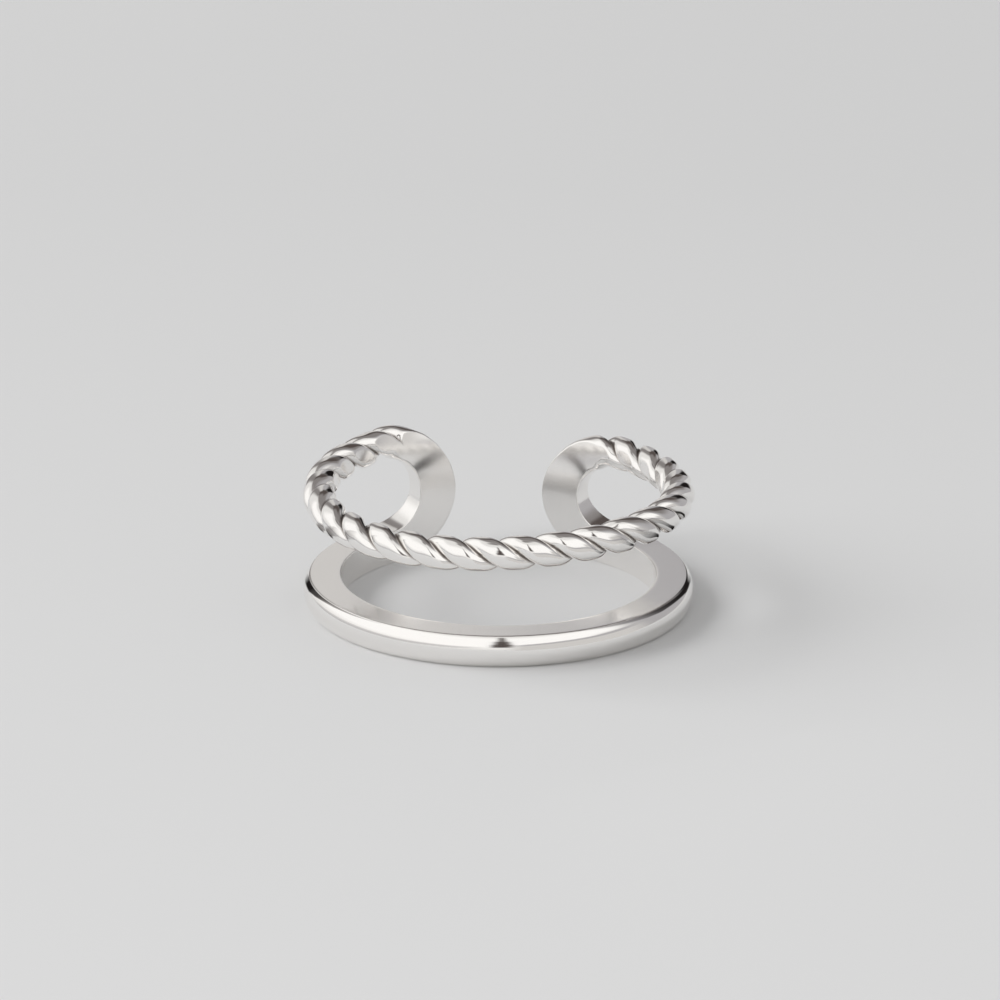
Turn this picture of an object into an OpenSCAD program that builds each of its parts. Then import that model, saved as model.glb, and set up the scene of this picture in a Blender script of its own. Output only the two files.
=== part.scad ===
// Open double-row ring: a smooth band below, a two-strand rope twist above, and a
// crescent at each side of the opening that joins the two rows.
// Origin on the axis of the finger hole, at the ring's foot. The opening faces +Y, and +Z is up.

/* [Finger hole] */
// Radius of the finger hole through the smooth band
bore_r = 8.65; // [7.5:0.05:11]
// How much wider the hole is at the rope row than at the smooth band
bore_flare = 0.28; // [0.1:0.02:0.5]

/* [Smooth band] */
// Height of the smooth band
band_h = 1.74; // [1.4:0.02:2.4]
// Thickness of the band at its flat top and bottom faces
band_t = 1.7; // [1.4:0.05:2.2]
// How far the rounded outside of the band stands out past its flat faces
dome_h = 0.37; // [0.2:0.01:0.6]

/* [Crescents] */
// Width of the opening between the two crescents, along the finger hole's wall
gap_w = 4.9; // [3:0.1:7]
// Width of a crescent at its middle
crescent_w = 2.15; // [1.6:0.05:2.8]
// Thickness of a crescent at the edges of its middle
crescent_t = 1.3; // [1:0.05:1.7]
// Reach of a crescent's bend along the wall, from the slot's straight part to its middle line
crescent_reach = 2.87; // [2.4:0.01:3.6]

/* [Rope row] */
// Height of the slot between the smooth band and the rope row
slot_h = 3.675; // [3:0.005:4.6]
// Diameter of the twisted rope over both strands
rope_d = 1.87; // [1.5:0.01:2.3]
// How deep the finger hole cuts into the strands' crests
rope_cut = 0.085; // [0.04:0.005:0.2]
// How much higher than its mean height the rope row is at the opening, and lower at the front
rope_tilt = 0.2; // [0:0.01:0.4]
// How far the rope row's two ends are sprung out of level, one up and one down
rope_spring = 0.17; // [0:0.01:0.4]
// How far the rope row's left end bends up into its crescent
end_rise = 0.15; // [0:0.01:0.3]
// Mean length of rope in which a strand goes once round
twist_pitch = 4.245; // [3:0.005:6]
// Turn of the strands at the middle of the front
twist_start = 20.5; // [0:0.5:179]
// Lead of the twist between front and side, in degrees: tight in front and behind, loose at the sides
twist_lead = 30; // [0:1:60]
// Distance of a strand's centre from the rope's centre, as a share of the rope's diameter
strand_off_share = 0.1925; // [0.15:0.0025:0.26]
// Width of a strand round the rope, as a share of the rope's diameter
strand_w_share = 0.759; // [0.6:0.001:0.85]

/* [Hidden] */
$fn = 180;

// The finger hole's wall is unrolled flat for the layout: s runs along it in mm from the middle of
// the opening, z upwards. The slot between the rows is the middle of a loop that goes round it.
wall_deg = 180 / (PI * bore_r);
// Metal left inside the finger hole's size, so that the hole is cut clean through the whole loop
bore_stock = 0.05;
band_flat_r = bore_r + band_t;

// A crescent's bend is a half ellipse along the middle of its width. Its root widens from the band.
bend_s = gap_w / 2 + crescent_w / 2 + crescent_reach;
bend_deg = bend_s * wall_deg;
crescent_dome_h = 0.8 * dome_h;
root_w = 1.08 * band_h;
root_deg = bend_deg + 22;
// The root starts a little inside the band and under its surface, so that the two are one solid
root_lap = 3;
root_sink = 0.02;

function mix(a, b, share) = a + (b - a) * share;
function ease(share) = let (t = min(max(share, 0), 1)) t * t * (3 - 2 * t);

// The rope row's centre line and strands. turn is the angle from the front, positive to the left.
rope_r = bore_r + bore_flare - rope_cut + rope_d / 2;
rope_z = band_h + slot_h + rope_d / 2;
rope_end = 180 - bend_deg;
// Last part of the row in which its left end bends up
rise_deg = 9;
function row_z(turn) =
    rope_z - rope_tilt * cos(turn) - rope_spring * sin(2 * turn)
    + end_rise * ease((turn - rope_end) / rise_deg + 1);
function strand_turn(turn) =
    twist_start + turn * PI / 180 * rope_r * 360 / twist_pitch + twist_lead * sin(2 * turn);
strand_off = strand_off_share * rope_d;
strand_half = rope_d / 2 - strand_off;
strand_w = strand_w_share * rope_d;
// The strands rise out of the round end of the bend: first outside and above, then inside and below
fade_start = bend_deg - 12;
fade_deg = 6;
fade_lag = 5;
fade_side = 50;
// How deep the round section reaches into the finger hole on the crescent, and where that ends
round_sink = 0.7;
round_end = bend_deg + 6;
// Part of the bend in which its section grows oval, from the crescent's middle
oval_bend = 70;

// Steps of each stretch of the loop, the bend's lower and upper half apart, and the spans round a
// section: dome, side, bore side, side
root_steps = 8;
low_steps = 10;
high_steps = 20;
turn_steps = 17;
rope_steps = round(turn_steps * 2 * rope_end * PI / 180 * rope_r / twist_pitch);
dome_pts = 6;
side_pts = 4;
bore_pts = 6;
section_pts = dome_pts + 2 * side_pts + bore_pts;
point_deg = 360 / section_pts;

// Radius of a dome over a flat face
function dome_radius(w, dome) = (dome + pow(w / 2, 2) / dome) / 2;

// A plain section is [width, radius of its flat faces' outer edge, height of its dome]. Its outline
// is a list of [u, r] points: u across the row in the wall's surface, towards the slot, and r from
// the ring axis. It starts at the middle of the dome and goes away from the slot first.
function plain_outline(plain) =
    let (
        w = plain[0],
        inner_r = bore_r - bore_stock,
        arc_r = dome_radius(w, plain[2]),
        half = asin(w / 2 / arc_r)
    )
    [for (i = [0 : section_pts - 1])
        let (
            j = min(i, section_pts - i),
            side = i <= section_pts / 2 ? -1 : 1,
            a = half * j / (dome_pts / 2),
            down = (j - dome_pts / 2) / side_pts,
            in = (section_pts / 2 - j) / (bore_pts / 2)
        )
        j <= dome_pts / 2 ? [side * arc_r * sin(a), plain[1] + plain[2] - arc_r * (1 - cos(a))]
        : down <= 1 ? [side * w / 2, mix(plain[1], inner_r, down)]
        : [side * w / 2 * in, inner_r]];

// The same outline started at another point, to line up with the rope's points
function started_at(outline, first) =
    [for (i = [0 : section_pts - 1]) outline[(i + first + 1000 * section_pts) % section_pts]];

// An oval outline w wide between two radii, its first point turned from outward
function oval_outline(w, inner_r, outer_r, turned) =
    [for (i = [0 : section_pts - 1])
        let (a = turned + i * point_deg)
        [-w / 2 * sin(a), (outer_r + inner_r + (outer_r - inner_r) * cos(a)) / 2]];

// Distance from the rope's centre line to the outside of its nearer strand, a from the strand
function strand_reach(a) =
    let (
        toward = abs(cos(a)),
        qa = pow(toward / strand_half, 2) + pow(sin(a) * 2 / strand_w, 2),
        qb = -2 * strand_off * toward / pow(strand_half, 2),
        qc = pow(strand_off / strand_half, 2) - 1
    )
    (-qb + sqrt(qb * qb - 4 * qa * qc)) / (2 * qa);

// Radius at which the rope row's oval ends on the finger hole's side, deg from the opening's middle
function oval_inner(deg) =
    rope_r - rope_d / 2 - round_sink * ease((round_end - deg) / (round_end - fade_start));

// Outline of the rope row, grown out of an oval w wide
function rope_outline(w, outer_r, turn, deg) =
    let (turned = strand_turn(turn), oval = oval_outline(w, oval_inner(deg), outer_r, turned))
    [for (i = [0 : section_pts - 1])
        let (
            a = turned + i * point_deg,
            lag = fade_lag * (1 - cos(a - fade_side)) / 2,
            share = ease((deg - fade_start - lag) / fade_deg),
            reach = strand_reach(i * point_deg)
        )
        mix(oval[i], [-reach * sin(a), rope_r + reach * cos(a)], share)];

// A station of the loop is [s, z, heading, outline]. The left root and bend, up from the band:
function root_stations(first) =
    [for (i = [0 : root_steps - 1])
        let (
            share = i / root_steps,
            deg = mix(root_deg + root_lap, bend_deg, share),
            sink = root_sink * max(1 - 2 * share, 0),
            w = mix(band_h, root_w, ease(share)) - 2 * sink
        )
        [-deg / wall_deg, w / 2 + sink, 0,
            started_at(plain_outline([w, band_flat_r - sink, dome_h]), first)]];

function bend_stations(side, first) =
    let (low = root_w / 2, rise = (row_z(side * rope_end) - low) / 2)
    [for (i = [-low_steps : high_steps])
        let (
            a = 90 * i / (i < 0 ? low_steps : high_steps),
            swell = pow(cos(a), 2),
            w = mix(a < 0 ? root_w : rope_d, crescent_w, swell),
            flat_r = mix(band_flat_r, bore_r + crescent_t, swell),
            dome = mix(dome_h, crescent_dome_h, swell),
            outer_r = mix(rope_r + rope_d / 2, bore_r + crescent_t + crescent_dome_h, swell),
            s = -bend_s + crescent_reach * cos(a),
            deg = -s * wall_deg,
            plain = started_at(plain_outline([w, flat_r, dome]), first),
            oval = oval_outline(w, oval_inner(deg), outer_r, first * point_deg)
        )
        [s, low + rise * (1 + sin(a)), atan2(rise * cos(a), -crescent_reach * sin(a)),
            a > 0 && deg > fade_start ? rope_outline(w, outer_r, side * (180 - deg), deg)
            : mix(plain, oval, ease(a / oval_bend))]];

// side is 1 for the left end of the loop and -1 for the right one
function end_stations(side) =
    let (first = round(strand_turn(side * (180 - fade_start)) / point_deg))
    concat(root_stations(first), bend_stations(side, first));

function rope_station(turn) =
    [(turn - 180) / wall_deg, row_z(turn), 180,
        rope_outline(rope_d, rope_r + rope_d / 2, turn, 180 - abs(turn))];

// The right end is the left one in a mirror, gone along the other way
function mirrored(stations) =
    [for (i = [len(stations) - 1 : -1 : 0])
        let (st = stations[i])
        [-360 / wall_deg - st[0], st[1], -st[2], st[3]]];

function on_ring(st, p) =
    let (a = 90 - (st[0] - p[0] * sin(st[2])) * wall_deg)
    [p[1] * cos(a), p[1] * sin(a), st[1] + p[0] * cos(st[2])];

module rope_loop() {
    stations = concat(
        end_stations(1),
        [for (i = [1 : rope_steps - 1]) rope_station(rope_end * (1 - 2 * i / rope_steps))],
        mirrored(end_stations(-1))
    );
    last = len(stations) - 1;
    n = section_pts;
    cap_mid = [0, (bore_r + band_flat_r) / 2];
    points = concat(
        [for (st = stations) each [for (p = st[3]) on_ring(st, p)]],
        [on_ring(stations[0], cap_mid), on_ring(stations[last], cap_mid)]
    );
    faces = [
        for (j = [0 : last], i = [0 : n - 1])
            let (a = j * n + i, b = j * n + (i + 1) % n)
            each concat(
                j == 0 ? [[len(points) - 2, b, a]] : [],
                j == last ? [[len(points) - 1, a, b]] : [[a, b, b + n], [a, b + n, a + n]]
            )
    ];
    polyhedron(points = points, faces = faces, convexity = 8);
}

module band_profile() {
    inner_r = bore_r - bore_stock;
    arc_r = dome_radius(band_h, dome_h);
    translate([inner_r, 0]) square([band_flat_r - inner_r, band_h]);
    intersection() {
        translate([band_flat_r, 0]) square([dome_h, band_h]);
        translate([band_flat_r + dome_h - arc_r, band_h / 2]) circle(r = arc_r);
    }
}

module smooth_band() {
    rotate([0, 0, 90 + root_deg]) rotate_extrude(angle = 360 - 2 * root_deg) band_profile();
}

// The finger hole: straight through the band, then opening a little towards the rope row
module finger_hole() {
    top_z = rope_z + 2 * rope_d;
    top_r = mix(bore_r, bore_r + bore_flare, (top_z - band_h) / (rope_z - band_h));
    rotate_extrude() polygon([[0, -1], [bore_r, -1], [bore_r, band_h], [top_r, top_z], [0, top_z]]);
}

module ring() {
    color("silver") difference() {
        union() {
            smooth_band();
            rope_loop();
        }
        finger_hole();
    }
}

ring();
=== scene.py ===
from math import asin, atan2, cos, degrees, pi, radians, sin, sqrt, tan

import bmesh
import bpy
from mathutils import Matrix, Vector


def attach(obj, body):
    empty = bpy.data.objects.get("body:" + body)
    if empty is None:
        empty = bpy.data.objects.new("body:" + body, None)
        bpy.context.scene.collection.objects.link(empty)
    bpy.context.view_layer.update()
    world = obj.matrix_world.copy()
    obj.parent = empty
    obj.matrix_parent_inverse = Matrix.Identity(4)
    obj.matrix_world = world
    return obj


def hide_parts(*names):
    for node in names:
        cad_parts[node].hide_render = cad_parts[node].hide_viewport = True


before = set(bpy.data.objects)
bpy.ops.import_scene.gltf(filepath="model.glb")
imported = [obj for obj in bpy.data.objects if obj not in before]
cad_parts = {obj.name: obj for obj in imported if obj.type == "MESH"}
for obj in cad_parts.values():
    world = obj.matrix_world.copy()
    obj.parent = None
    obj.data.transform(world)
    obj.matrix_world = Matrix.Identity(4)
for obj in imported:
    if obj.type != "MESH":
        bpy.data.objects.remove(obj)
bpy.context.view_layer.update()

mm = 0.001


# Shader helpers
def newMaterial(name):
    material = bpy.data.materials.new(name)
    material.use_nodes = True
    tree = material.node_tree
    return material, tree, tree.nodes["Principled BSDF"]


# Settings are the node's own, inputs are values or other nodes' sockets
def addNode(tree, kind, settings=None, inputs=None):
    node = tree.nodes.new(kind)
    for key, value in (settings or {}).items():
        setattr(node, key, value)
    for key, value in (inputs or {}).items():
        if isinstance(value, bpy.types.NodeSocket):
            tree.links.new(value, node.inputs[key])
        else:
            node.inputs[key].default_value = value
    return node


# Every use of a group gives all of its inputs
def newGroup(name, ins, outs):
    tree = bpy.data.node_groups.new(name, "ShaderNodeTree")
    for side, sockets in (("INPUT", ins), ("OUTPUT", outs)):
        for label, kind in sockets.items():
            tree.interface.new_socket(name=label, in_out=side, socket_type="NodeSocket" + kind)
    return tree, tree.nodes.new("NodeGroupInput"), tree.nodes.new("NodeGroupOutput")


def useGroup(tree, group, inputs):
    return addNode(tree, "ShaderNodeGroup", {"node_tree": group}, inputs)


# Hairline polishing marks: fine noise stretched along one direction, faded in and out in patches
def hairlineGroup():
    ins = {"Position": "Vector", "Turn": "Vector", "Fineness": "Float"}
    tree, given, made = newGroup("hairlines", ins, {"Marks": "Float"})
    turned = addNode(tree, "ShaderNodeMapping", {"vector_type": "POINT"},
                     {"Vector": given.outputs["Position"], "Rotation": given.outputs["Turn"],
                      "Scale": (1, 0.03, 0.2)})
    fine = addNode(tree, "ShaderNodeTexNoise", None,
                   {"Vector": turned.outputs["Vector"], "Scale": given.outputs["Fineness"], "Detail": 3})
    lines = addNode(tree, "ShaderNodeMapRange", None,
                    {"Value": fine.outputs["Fac"], "From Min": 0.58, "From Max": 0.72})
    patches = addNode(tree, "ShaderNodeTexNoise", None,
                      {"Vector": given.outputs["Position"], "Scale": 450, "Detail": 2})
    where = addNode(tree, "ShaderNodeMapRange", None,
                    {"Value": patches.outputs["Fac"], "From Min": 0.4, "From Max": 0.65})
    both = addNode(tree, "ShaderNodeMath", {"operation": "MULTIPLY"},
                   {0: lines.outputs["Result"], 1: where.outputs["Result"]})
    tree.links.new(both.outputs["Value"], made.inputs["Marks"])
    return tree


# Light haze that handling leaves on polish
def hazeGroup():
    tree, given, made = newGroup("haze", {"Position": "Vector", "Scale": "Float"}, {"Haze": "Float"})
    broad = addNode(tree, "ShaderNodeTexNoise", None,
                    {"Vector": given.outputs["Position"], "Scale": given.outputs["Scale"],
                     "Detail": 4, "Roughness": 0.6})
    haze = addNode(tree, "ShaderNodeMapRange", None,
                   {"Value": broad.outputs["Fac"], "From Min": 0.35, "From Max": 0.75})
    tree.links.new(haze.outputs["Result"], made.inputs["Haze"])
    return tree


# The ring is one closed loop of outlines, in mm and degrees, with the finger hole's axis on Z, the
# smooth band's foot at zero and the opening towards +Y
ring = {
    "boreR": 8.65, "boreFlare": 0.28,  # the finger hole, and how much further out its wall is at the rope
    "bandH": 1.74, "bandT": 1.7, "domeH": 0.37,
    "gapW": 4.9, "crescentW": 2.15, "crescentT": 1.3, "crescentReach": 2.87,
    "slotH": 3.675, "ropeD": 1.87, "ropeCut": 0.085,  # the finger hole cuts ropeCut off the rope
    "ropeTilt": 0.2, "ropeSpring": 0.17, "endRise": 0.15, "riseDeg": 9,  # the rope row isn't quite level
    "twistPitch": 4.245, "twistStart": 20.5, "twistLead": 30, "strandOff": 0.36, "strandW": 1.42,
    "rootSwell": 1.08, "rootDeg": 22, "crescentDome": 0.8,  # how the band grows into a crescent
    "fadeEarly": 12, "fadeDeg": 6, "fadeLag": 5, "fadeSide": 50,  # how the strands fade into a crescent
    "roundSink": 0.7, "roundLate": 6, "ovalBend": 70,  # how a crescent's outline turns oval first
    "rimRound": 0.07, "boreRound": 0.06, "facetRound": 0.03, "grooveDeg": 15,
    "creaseFrom": 0.3, "weldGap": 0.0005,  # edges are sharp where the groove is deeper than creaseFrom
    "turnSteps": 64, "lowSteps": 28, "highSteps": 70, "rootSteps": 16, "bandSteps": 170,
}
wallDeg = 180 / (pi * ring["boreR"])
flatR = ring["boreR"] + ring["bandT"]
bendS = ring["gapW"] / 2 + ring["crescentW"] / 2 + ring["crescentReach"]
bendDeg = bendS * wallDeg
rootDeg = bendDeg + ring["rootDeg"]
rootW = ring["rootSwell"] * ring["bandH"]
ropeR = ring["boreR"] + ring["boreFlare"] - ring["ropeCut"] + ring["ropeD"] / 2
ropeZ = ring["bandH"] + ring["slotH"] + ring["ropeD"] / 2
ropeEnd = 180 - bendDeg
strandHalf = ring["ropeD"] / 2 - ring["strandOff"]
fadeStart = bendDeg - ring["fadeEarly"]
roundEnd = bendDeg + ring["roundLate"]
# An outline is a list of points (u, radius, satin, groove), and these are the steps of half a plain one
spans = {"dome": 10, "rim": 4, "side": 7, "corner": 4, "face": 7}
count = 2 * sum(spans.values())
pointDeg = 360 / count
creases = (count // 4, 3 * count // 4)


def mix(a, b, share):
    return a + (b - a) * share


def mixPoint(one, other, share):
    return tuple(mix(a, b, share) for a, b in zip(one, other))


def ease(share):
    t = min(max(share, 0), 1)
    return t * t * (3 - 2 * t)


def ropeRowZ(turn):
    rise = ring["endRise"] * ease((turn - ropeEnd) / ring["riseDeg"] + 1)
    return ropeZ - ring["ropeTilt"] * cos(radians(turn)) - ring["ropeSpring"] * sin(radians(2 * turn)) + rise


def strandTurn(turn):
    even = ring["twistStart"] + radians(turn) * ropeR * 360 / ring["twistPitch"]
    return even + ring["twistLead"] * sin(radians(2 * turn))


def wallR(z):
    return ring["boreR"] + ring["boreFlare"] * (max(z - ring["bandH"], 0) / (ropeZ - ring["bandH"])) ** 3


# A small round at a corner, from the side of the point before it to the side of the point after
def roundedCorner(before, corner, after, cut, steps):
    corner = Vector(corner)
    start = corner + (Vector(before) - corner).normalized() * cut
    end = corner + (Vector(after) - corner).normalized() * cut
    made = []
    for k in range(steps + 1):
        t = k / steps
        made.append(tuple(start * (1 - t) ** 2 + corner * 2 * t * (1 - t) + end * t ** 2))
    return made


# One half of a plain outline, from the middle of the dome to the middle of the bore face
def halfOutline(w, flat, dome, inner):
    arcR = (dome + (w / 2) ** 2 / dome) / 2
    rim, corner = ring["rimRound"], ring["boreRound"]
    last = asin(w / 2 / arcR) - rim / arcR
    arc = []
    for k in range(spans["dome"] + 1):
        a = last * k / spans["dome"]
        arc.append((arcR * sin(a), flat + dome - arcR * (1 - cos(a))))
    points = arc[:-1] + roundedCorner(arc[-1], (w / 2, flat), (w / 2, inner), rim, spans["rim"])[:-1]
    for k in range(spans["side"]):
        share = k / spans["side"]
        points.append((w / 2, mix(flat - rim, inner + corner, (ease(share) + share) / 2)))
    points += roundedCorner((w / 2, flat), (w / 2, inner), (0, inner), corner, spans["corner"])[:-1]
    points += [((w / 2 - corner) * (1 - k / spans["face"]), inner) for k in range(spans["face"] + 1)]
    satinFrom = spans["dome"] + spans["rim"] / 2
    return [(u, radius, 1 if k > satinFrom else 0, 0) for k, (u, radius) in enumerate(points)]


# u runs across the row towards the slot, and the bore face may slope from one side to the other
def plainOutline(w, flat, dome, innerLow, innerHigh):
    low, high = halfOutline(w, flat, dome, innerLow), halfOutline(w, flat, dome, innerHigh)
    away = [(-u, *rest) for u, *rest in low]
    middle = (0, (innerLow + innerHigh) / 2, 1, 0)
    return away[:-1] + [middle] + high[-2:0:-1]


def ovalOutline(w, innerR, outerR, turned):
    made = []
    for i in range(count):
        a = radians(turned + i * pointDeg)
        made.append((-w / 2 * sin(a), (outerR + innerR + (outerR - innerR) * cos(a)) / 2, 0, 0))
    return made


def ovalInner(deg):
    return ropeR - ring["ropeD"] / 2 - ring["roundSink"] * ease((roundEnd - deg) / (roundEnd - fadeStart))


# How far it is from the middle of the rope to the outside of the strand that lies that way. A strand
# is an ellipse beside the middle, and where a line meets it follows from a quadratic equation
def strandReach(a):
    toward = abs(cos(a))
    square = (toward / strandHalf) ** 2 + (sin(a) * 2 / ring["strandW"]) ** 2
    linear = -2 * ring["strandOff"] * toward / strandHalf ** 2
    fixed = (ring["strandOff"] / strandHalf) ** 2 - 1
    return (sqrt(linear * linear - 4 * square * fixed) - linear) / (2 * square)


def ropeOutline(w, outerR, turn, deg):
    turned = strandTurn(turn)
    oval = ovalOutline(w, ovalInner(deg), outerR, turned)
    made = []
    for i in range(count):
        a = radians(turned + i * pointDeg)
        lag = ring["fadeLag"] * (1 - cos(a - radians(ring["fadeSide"]))) / 2
        share = ease((deg - fadeStart - lag) / ring["fadeDeg"])
        reach = strandReach(radians(i * pointDeg))
        groove = ease(1 - min(abs(i - crease) for crease in creases) * pointDeg / ring["grooveDeg"])
        made.append(mixPoint(oval[i], (-reach * sin(a), ropeR + reach * cos(a), 0, groove), share))
    return made


def startedAt(outline, first):
    return [outline[(i + first) % count] for i in range(count)]


# The finger hole's wall cuts what reaches inside it, with a polished edge
def softWall(radius, wall, soft):
    if soft <= 0:
        return max(radius, wall)
    blend = max(soft - abs(radius - wall), 0) / soft
    return max(radius, wall) + blend * blend * soft / 4


# A place on the loop: s along the finger hole's wall from the opening, z, heading and outline
class Station:
    def __init__(self, s, z, heading, outline, soft):
        self.s, self.z, self.heading = s, z, radians(heading)
        self.outline, self.soft = outline, soft

    def mirrored(self):
        return Station(-360 / wallDeg - self.s, self.z, -degrees(self.heading), self.outline, self.soft)

    def places(self):
        made = []
        for u, radius, satin, groove in self.outline:
            z = self.z + u * cos(self.heading)
            a = radians(90 - (self.s - u * sin(self.heading)) * wallDeg)
            wall = wallR(z)
            satin = max(satin, ease((wall - radius) / ring["facetRound"]))
            radius = softWall(radius, wall, self.soft)
            made.append((Vector((radius * cos(a), radius * sin(a), z)) * mm, satin, groove))
        return made


def bandStation(deg, w, first):
    outline = plainOutline(w, flatR, ring["domeH"], ring["boreR"], wallR(w))
    return Station(-deg / wallDeg, w / 2, 0, startedAt(outline, first), 0)


def rootStations(first):
    made = []
    for k in range(ring["rootSteps"]):
        share = k / ring["rootSteps"]
        made.append(bandStation(mix(rootDeg, bendDeg, share), mix(ring["bandH"], rootW, ease(share)), first))
    return made


def bendStations(side, first):
    low = rootW / 2
    crescentR = ring["boreR"] + ring["crescentT"] + ring["domeH"] * ring["crescentDome"]
    rise = (ropeRowZ(side * ropeEnd) - low) / 2
    made = []
    for k in range(-ring["lowSteps"], ring["highSteps"] + 1):
        a = radians(90 * k / (ring["lowSteps"] if k < 0 else ring["highSteps"]))
        swell = cos(a) ** 2
        w = mix(rootW if a < 0 else ring["ropeD"], ring["crescentW"], swell)
        flat = mix(flatR, ring["boreR"] + ring["crescentT"], swell)
        dome = mix(ring["domeH"], ring["domeH"] * ring["crescentDome"], swell)
        outerR = mix(ropeR + ring["ropeD"] / 2, crescentR, swell)
        s = -bendS + ring["crescentReach"] * cos(a)
        z = low + rise * (1 + sin(a))
        heading = degrees(atan2(rise * cos(a), -ring["crescentReach"] * sin(a)))
        deg = -s * wallDeg
        rim = w / 2 * cos(radians(heading))
        plain = startedAt(plainOutline(w, flat, dome, wallR(z - rim), wallR(z + rim)), first)
        share = ease(degrees(a) / ring["ovalBend"])
        if a > 0 and deg > fadeStart:
            rope = ropeOutline(w, outerR, side * (180 - deg), deg)
            made.append(Station(s, z, heading, rope, ring["facetRound"]))
        else:
            oval = ovalOutline(w, ovalInner(deg), outerR, first * pointDeg)
            blended = [mixPoint(p, q, share) for p, q in zip(plain, oval)]
            made.append(Station(s, z, heading, blended, ring["facetRound"] * share))
    return made


def ropeStation(turn):
    deg = 180 - abs(turn)
    outline = ropeOutline(ring["ropeD"], ropeR + ring["ropeD"] / 2, turn, deg)
    return Station((turn - 180) / wallDeg, ropeRowZ(turn), 180, outline, ring["facetRound"])


def firstPoint(side):
    return round(strandTurn(side * (180 - fadeStart)) / pointDeg)


def loopStations():
    left, right = firstPoint(1), firstPoint(-1)
    stations = rootStations(left) + bendStations(1, left)
    ropeSteps = round(ring["turnSteps"] * 2 * radians(ropeEnd) * ropeR / ring["twistPitch"])
    stations += [ropeStation(ropeEnd * (1 - 2 * k / ropeSteps)) for k in range(1, ropeSteps)]
    stations += [s.mirrored() for s in reversed(rootStations(right) + bendStations(-1, right))]
    for k in range(1, ring["bandSteps"]):
        stations.append(bandStation(mix(360 - rootDeg, rootDeg, k / ring["bandSteps"]), ring["bandH"], right))
    # The last station is the first one again, with the band's outline started where it was
    stations.append(bandStation(rootDeg, ring["bandH"], right))
    return stations


# Lays a grid's rows on the stations, one outline each, and welds it round and end to start
def wrapGrid(bm, stations):
    steps = len(stations) - 1
    bmesh.ops.create_grid(bm, x_segments=count, y_segments=steps, size=0.5)
    groove, satin = bm.verts.layers.float.new("groove"), bm.verts.layers.float.new("satin")
    rows = [station.places() for station in stations]
    sharp = set()
    for v in bm.verts:
        i, j = round((v.co.x + 0.5) * count) % count, round((v.co.y + 0.5) * steps)
        v.co, v[satin], v[groove] = rows[j][i]
        if i in creases and v[groove] > ring["creaseFrom"]:
            sharp.add(v)
    for e in bm.edges:
        e.smooth = not (e.verts[0] in sharp and e.verts[1] in sharp)
    bmesh.ops.remove_doubles(bm, verts=bm.verts[:], dist=ring["weldGap"] * mm)
    bmesh.ops.recalc_face_normals(bm, faces=bm.faces[:])


def buildRing():
    bm = bmesh.new()
    wrapGrid(bm, loopStations())
    for face in bm.faces:
        face.smooth = True
    mesh = bpy.data.meshes.new("rope_ring")
    bm.to_mesh(mesh)
    openEdges = sum(1 for e in bm.edges if len(e.link_faces) != 2)
    bm.free()
    print("ring:", len(mesh.vertices), "verts,", len(mesh.polygons), "faces,", openEdges, "open edges")
    piece = bpy.data.objects.new("rope_ring", mesh)
    bpy.context.collection.objects.link(piece)
    return piece


# The rough values add up, and the depths of waves and marks are in metres
polish = {
    # The dark colour mixed in towards the grooves is painted shade, where the strands shade each other
    "metal": (0.94, 0.925, 0.908, 1), "grooveShade": (0.26, 0.23, 0.21, 1), "grooveShadeMost": 0.9,
    "acrossTurn": (0.3, 0.2, 0.5), "acrossFine": 9000, "alongTurn": (1.2, 0.4, 2.1), "alongFine": 7000,
    "hazeScale": 260, "roughLeast": 0.055, "roughHazy": 0.1,
    "roughGroove": 0.15, "roughSatin": 0.07, "roughMarks": 0.06,
    "waveScale": 420, "waveStrength": 0.05, "waveDepth": 0.00003,
    "markStrength": 0.06, "markDepth": 0.000003,
}


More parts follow.
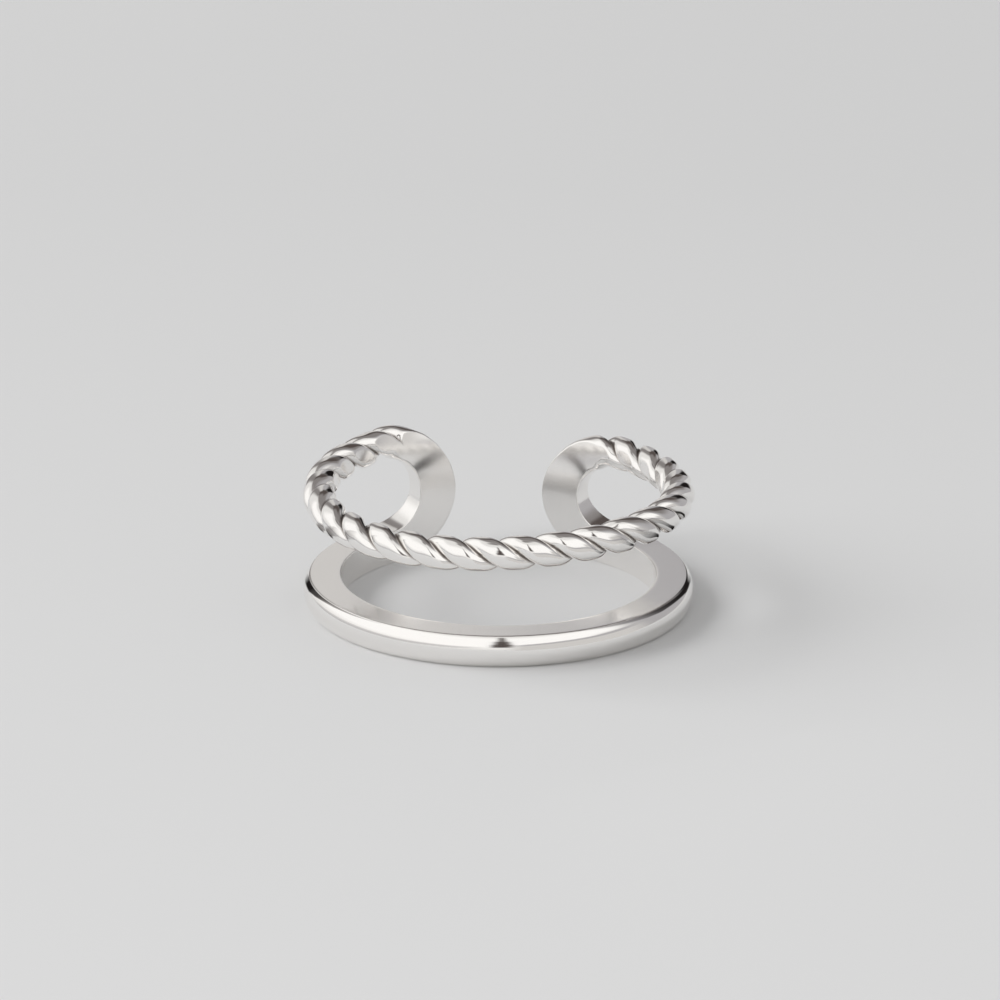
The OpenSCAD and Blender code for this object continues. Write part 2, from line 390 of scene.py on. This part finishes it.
def silverMaterial():
    material, tree, shader = newMaterial("polished_silver")
    place = addNode(tree, "ShaderNodeTexCoord").outputs["Object"]
    hairlines, haze = hairlineGroup(), hazeGroup()
    across = useGroup(tree, hairlines, {"Position": place, "Turn": polish["acrossTurn"],
                                        "Fineness": polish["acrossFine"]})
    along = useGroup(tree, hairlines, {"Position": place, "Turn": polish["alongTurn"],
                                       "Fineness": polish["alongFine"]})
    marks = addNode(tree, "ShaderNodeMath", {"operation": "MAXIMUM"},
                    {0: across.outputs["Marks"], 1: along.outputs["Marks"]})
    cloud = useGroup(tree, haze, {"Position": place, "Scale": polish["hazeScale"]})
    groove = addNode(tree, "ShaderNodeAttribute", {"attribute_name": "groove"})
    satin = addNode(tree, "ShaderNodeAttribute", {"attribute_name": "satin"})

    # Painted shade: the base colour darkens towards the grooves between the strands, standing in for the
    # shade there
    grooveShade = addNode(tree, "ShaderNodeMapRange", None,
                      {"Value": groove.outputs["Fac"], "From Min": 0.15, "From Max": 0.9,
                       "To Max": polish["grooveShadeMost"]})
    tint = addNode(tree, "ShaderNodeMix", {"data_type": "RGBA"})
    tree.links.new(grooveShade.outputs["Result"], tint.inputs["Factor"])
    tint.inputs["A"].default_value = polish["metal"]
    tint.inputs["B"].default_value = polish["grooveShade"]
    tree.links.new(tint.outputs["Result"], shader.inputs["Base Color"])

    rough = addNode(tree, "ShaderNodeMapRange", None,
                    {"Value": cloud.outputs["Haze"], "To Min": polish["roughLeast"],
                     "To Max": polish["roughHazy"]})
    rougher = addNode(tree, "ShaderNodeMath", {"operation": "MULTIPLY_ADD"},
                      {0: groove.outputs["Fac"], 1: polish["roughGroove"], 2: rough.outputs["Result"]})
    softer = addNode(tree, "ShaderNodeMath", {"operation": "MULTIPLY_ADD"},
                     {0: satin.outputs["Fac"], 1: polish["roughSatin"], 2: rougher.outputs["Value"]})
    scuffed = addNode(tree, "ShaderNodeMath", {"operation": "MULTIPLY_ADD"},
                      {0: marks.outputs["Value"], 1: polish["roughMarks"], 2: softer.outputs["Value"]})
    tree.links.new(scuffed.outputs["Value"], shader.inputs["Roughness"])

    waves = addNode(tree, "ShaderNodeTexNoise", None,
                    {"Vector": place, "Scale": polish["waveScale"], "Detail": 1})
    wavy = addNode(tree, "ShaderNodeBump", None,
                   {"Strength": polish["waveStrength"], "Distance": polish["waveDepth"],
                    "Height": waves.outputs["Fac"]})
    marked = addNode(tree, "ShaderNodeBump", {"invert": True},
                     {"Strength": polish["markStrength"], "Distance": polish["markDepth"],
                      "Height": marks.outputs["Value"], "Normal": wavy.outputs["Normal"]})
    tree.links.new(marked.outputs["Normal"], shader.inputs["Normal"])
    shader.inputs["Metallic"].default_value = 1
    return material


piece = buildRing()
piece.data.materials.append(silverMaterial())
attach(piece, "root")
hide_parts("ring")
print("ring dressed")


# The stage: a pale floor, a grey world, one light, and a tent and cards that only the metal reflects.
# Azimuth 0 is behind the camera, 90 to the right and 180 behind the ring, and lengths are in metres
stage = {
    "floorR": 1.6, "floorLitNear": 0.72, "floorShadedFar": 0.655, "nearY": -0.05, "farY": 0.09,
    "floorRough": 0.75, "floorShine": 0.2, "grainScale": 900, "grainStrength": 0.02, "grainDepth": 0.00002,
    "world": (0.62, 0.62, 0.62, 1), "worldStrength": 0.92,
    "tentR": 0.7, "tentStep": 2, "tentFoot": -2,
    "white": (1.04, 1.03, 1.015), "bright": (0.8, 0.79, 0.775), "cloth": (0.63, 0.615, 0.6),
    "grey": (0.42, 0.41, 0.42), "dim": (0.24, 0.225, 0.22),
    "brown": (0.09, 0.075, 0.07), "black": (0.012, 0.01, 0.01),
}
# Sheets of the tent, later ones over earlier ones: azimuths, elevations, softness and tone. The sheets glow
# and are no lamps; their tones paint the reflections on the metal
sheets = [
    (-200, 200, -20, 120, 4, "bright"),
    (-128, 88, 10, 62, 18, "white"),
    (60, 110, -10, 28, 14, "cloth"),
    (88, 150, -10, 75, 30, "grey"),
    (112, 206, 26, 84, 22, "dim"),
    (140, 200, 28, 50, 12, "brown"),
    (145, 171, 3, 28, 9, "black"),
    (169, 180, -6, 27, 5, "grey"),
    (180, 192, -6, 34, 5, "cloth"),
    (192, 209, -6, 45, 11, "dim"),
    (-200, 200, 82, 120, 8, "dim"),
    (-4, 9, 12, 26, 5, "brown"),
    (-2.5, 7.5, 22, 42, 5, "brown"),
    (0, 5.5, 36, 66, 5, "brown"),
]
# Low cards near the smooth band: distance from it in mm, softness and tone, then azimuths with the
# elevations between which the band sees the card, and how much the card covers there. The cards glow and
# are no lamps: they paint dark and grey reflections along the band
cards = [
    (16, 3, "cloth",
     [(4, -10, 20, 0), (14, -10, 21, 1), (60, -10, 22, 1), (80, -10, 22, 0.9), (98, -10, 20, 0)]),
    (15, 2.5, "grey",
     [(6, 21, 24, 0), (16, 21, 24.5, 0.9), (60, 22, 26, 1), (80, 22, 27, 1), (94, 20, 26, 0)]),
    (38, 3, "grey",
     [(-140, -5, 1, 0), (-125, -4, 2, 0.6), (-60, 0, 6, 0.6), (-24, 6, 11, 0.5), (-8, 8, 13, 0)]),
    (3, 3.5, "black",
     [(-172, 0, 8, 0), (-160, 4, 18, 1), (-150, 8, 27, 1), (-140, 18, 35, 0.85), (-124, 33, 46, 0)]),
    (3.3, 4.5, "brown",
     [(-150, 10, 23, 0), (-138, 20, 36, 0.8), (-120, 37, 49, 0.75), (-104, 48, 58, 0.5), (-84, 58, 67, 0)]),
    (3, 3.5, "black",
     [(172, 4, 12, 0), (160, 10, 22, 1), (148, 14, 30, 1), (138, 22, 40, 1), (126, 28, 46, 0.95),
      (115, 31, 50, 0.85), (103, 38, 55, 0.55), (88, 49, 62, 0.4), (66, 61, 70, 0)]),
]


def floorMaterial():
    material, tree, shader = newMaterial("floor_paper")
    place = addNode(tree, "ShaderNodeTexCoord").outputs["Object"]
    grain = addNode(tree, "ShaderNodeTexNoise", None,
                    {"Vector": place, "Scale": stage["grainScale"], "Detail": 3})
    bump = addNode(tree, "ShaderNodeBump", None,
                   {"Strength": stage["grainStrength"], "Distance": stage["grainDepth"],
                    "Height": grain.outputs["Fac"]})
    tree.links.new(bump.outputs["Normal"], shader.inputs["Normal"])
    # Painted shade: the floor's colour is lighter at the front and darker towards the back, a painted
    # lighting gradient
    depth = addNode(tree, "ShaderNodeSeparateXYZ", None, {"Vector": place})
    shade = addNode(tree, "ShaderNodeMapRange", None,
                    {"Value": depth.outputs["Y"], "From Min": stage["nearY"], "From Max": stage["farY"],
                     "To Min": stage["floorLitNear"], "To Max": stage["floorShadedFar"]})
    tree.links.new(shade.outputs["Result"], shader.inputs["Base Color"])
    shader.inputs["Roughness"].default_value = stage["floorRough"]
    shader.inputs["Specular IOR Level"].default_value = stage["floorShine"]
    return material


def glowMaterial(name):
    material, tree, shader = newMaterial(name)
    glow = addNode(tree, "ShaderNodeAttribute", {"attribute_name": "glow"})
    tree.links.new(glow.outputs["Color"], shader.inputs["Emission Color"])
    tree.links.new(glow.outputs["Alpha"], shader.inputs["Alpha"])
    shader.inputs["Base Color"].default_value = (0, 0, 0, 1)
    shader.inputs["Specular IOR Level"].default_value = 0
    shader.inputs["Emission Strength"].default_value = 1
    return material


# What the sheets give together in one direction
def tentGlow(azimuth, elevation):
    glow = Vector(stage["cloth"])
    for left, right, low, high, soft, tone in sheets:
        off = (azimuth - (left + right) / 2 + 180) % 360 - 180
        cover = ease(((right - left) / 2 - abs(off)) / soft + 0.5)
        cover *= ease((elevation - low) / soft + 0.5) * ease((high - elevation) / soft + 0.5)
        glow = glow.lerp(Vector(stage[tone]), cover)
    return glow


def direction(azimuth, elevation=0):
    a, e = radians(azimuth), radians(elevation)
    return Vector((sin(a) * cos(e), -cos(a) * cos(e), sin(e)))


# A piece of the stage that only reflections see
def addReflected(name, bm):
    mesh = bpy.data.meshes.new(name)
    bm.to_mesh(mesh)
    bm.free()
    sheet = bpy.data.objects.new(name, mesh)
    bpy.context.collection.objects.link(sheet)
    sheet.data.materials.append(glowMaterial(name))
    sheet.visible_camera = sheet.visible_diffuse = sheet.visible_shadow = False


# The tent glows in painted tones and is no lamp: it gives the metal painted reflections
def buildTent():
    bm = bmesh.new()
    foot, step = stage["tentFoot"], stage["tentStep"]
    high = 90 - foot
    bmesh.ops.create_grid(bm, x_segments=360 // step, y_segments=high // step, size=0.5)
    glow = bm.verts.layers.float_color.new("glow")
    for v in bm.verts:
        azimuth, elevation = v.co.x * 360, (v.co.y + 0.5) * high + foot
        v.co = direction(azimuth, elevation) * stage["tentR"]
        v[glow] = (*tentGlow(azimuth, elevation), 1)
    addReflected("tent", bm)


# The smooth band's outside half as far round mirrors a card's azimuth towards the camera
# Each card glows in a painted tone and gives the band a painted reflection
def buildCard(name, distance, soft, tone, knots):
    bm = bmesh.new()
    glow = bm.verts.layers.float_color.new("glow")
    columns = []
    for azimuth, low, high, cover in knots:
        place = direction(azimuth / 2) * (flatR + ring["domeH"]) + direction(azimuth) * distance
        column = []
        for level, seen in ((low - soft, 0), (low, cover), (high, cover), (high + soft, 0)):
            place.z = ring["bandH"] / 2 + distance * tan(radians(level))
            v = bm.verts.new(place * mm)
            v[glow] = (*stage[tone], seen)
            column.append(v)
        columns.append(column)
    for one, other in zip(columns, columns[1:]):
        for k in range(3):
            bm.faces.new((one[k], other[k], other[k + 1], one[k + 1]))
    addReflected(name, bm)


def buildFloor():
    bm = bmesh.new()
    bmesh.ops.create_circle(bm, cap_ends=True, radius=stage["floorR"], segments=128)
    mesh = bpy.data.meshes.new("floor")
    bm.to_mesh(mesh)
    bm.free()
    floor = bpy.data.objects.new("floor", mesh)
    bpy.context.collection.objects.link(floor)
    floor.data.materials.append(floorMaterial())


keyLight = {"azimuth": -92, "elevation": 31, "distance": 2, "width": 2.1, "height": 1.3, "power": 37}


# Reflections don't see the light, because the tent stands for it there
def addLight(name, azimuth, elevation, distance, width, height, power):
    data = bpy.data.lights.new(name, "AREA")
    data.shape, data.size, data.size_y = "RECTANGLE", width, height
    data.energy = power
    light = bpy.data.objects.new(name, data)
    light.location = direction(azimuth, elevation) * distance
    light.rotation_euler = (-light.location).to_track_quat("-Z", "Y").to_euler()
    light.visible_glossy = False
    bpy.context.collection.objects.link(light)


buildFloor()
buildTent()
for number, card in enumerate(cards):
    buildCard("card_" + str(number + 1), *card)
scene = bpy.context.scene
world = bpy.data.worlds.new("studio")
world.use_nodes = True
world.node_tree.nodes["Background"].inputs["Color"].default_value = stage["world"]
world.node_tree.nodes["Background"].inputs["Strength"].default_value = stage["worldStrength"]
scene.world = world
addLight("key_left", **keyLight)
print("stage ready")


# The camera follows from the photograph's ellipses, in mm and degrees
view = {
    "distance": 273.31, "elevation": 18.494, "roll": 0.2, "targetX": 0.07, "targetZ": 5.888,
    "lens": 180, "sensor": 36,
}
back = direction(0, view["elevation"])
up = direction(180, 90 - view["elevation"])
basis = Matrix((Vector((1, 0, 0)), up, back)).transposed() @ Matrix.Rotation(radians(view["roll"]), 3, "Z")
camera = bpy.data.objects.new("camera", bpy.data.cameras.new("camera"))
camera.data.lens, camera.data.sensor_width = view["lens"], view["sensor"]
camera.data.clip_start, camera.data.clip_end = 0.01, 10
eye = Vector((view["targetX"], 0, view["targetZ"])) + back * view["distance"]
camera.matrix_world = Matrix.Translation(eye * mm) @ basis.to_4x4()
bpy.context.collection.objects.link(camera)
scene.camera = camera
scene.view_settings.view_transform = "Standard"
print("camera ready")
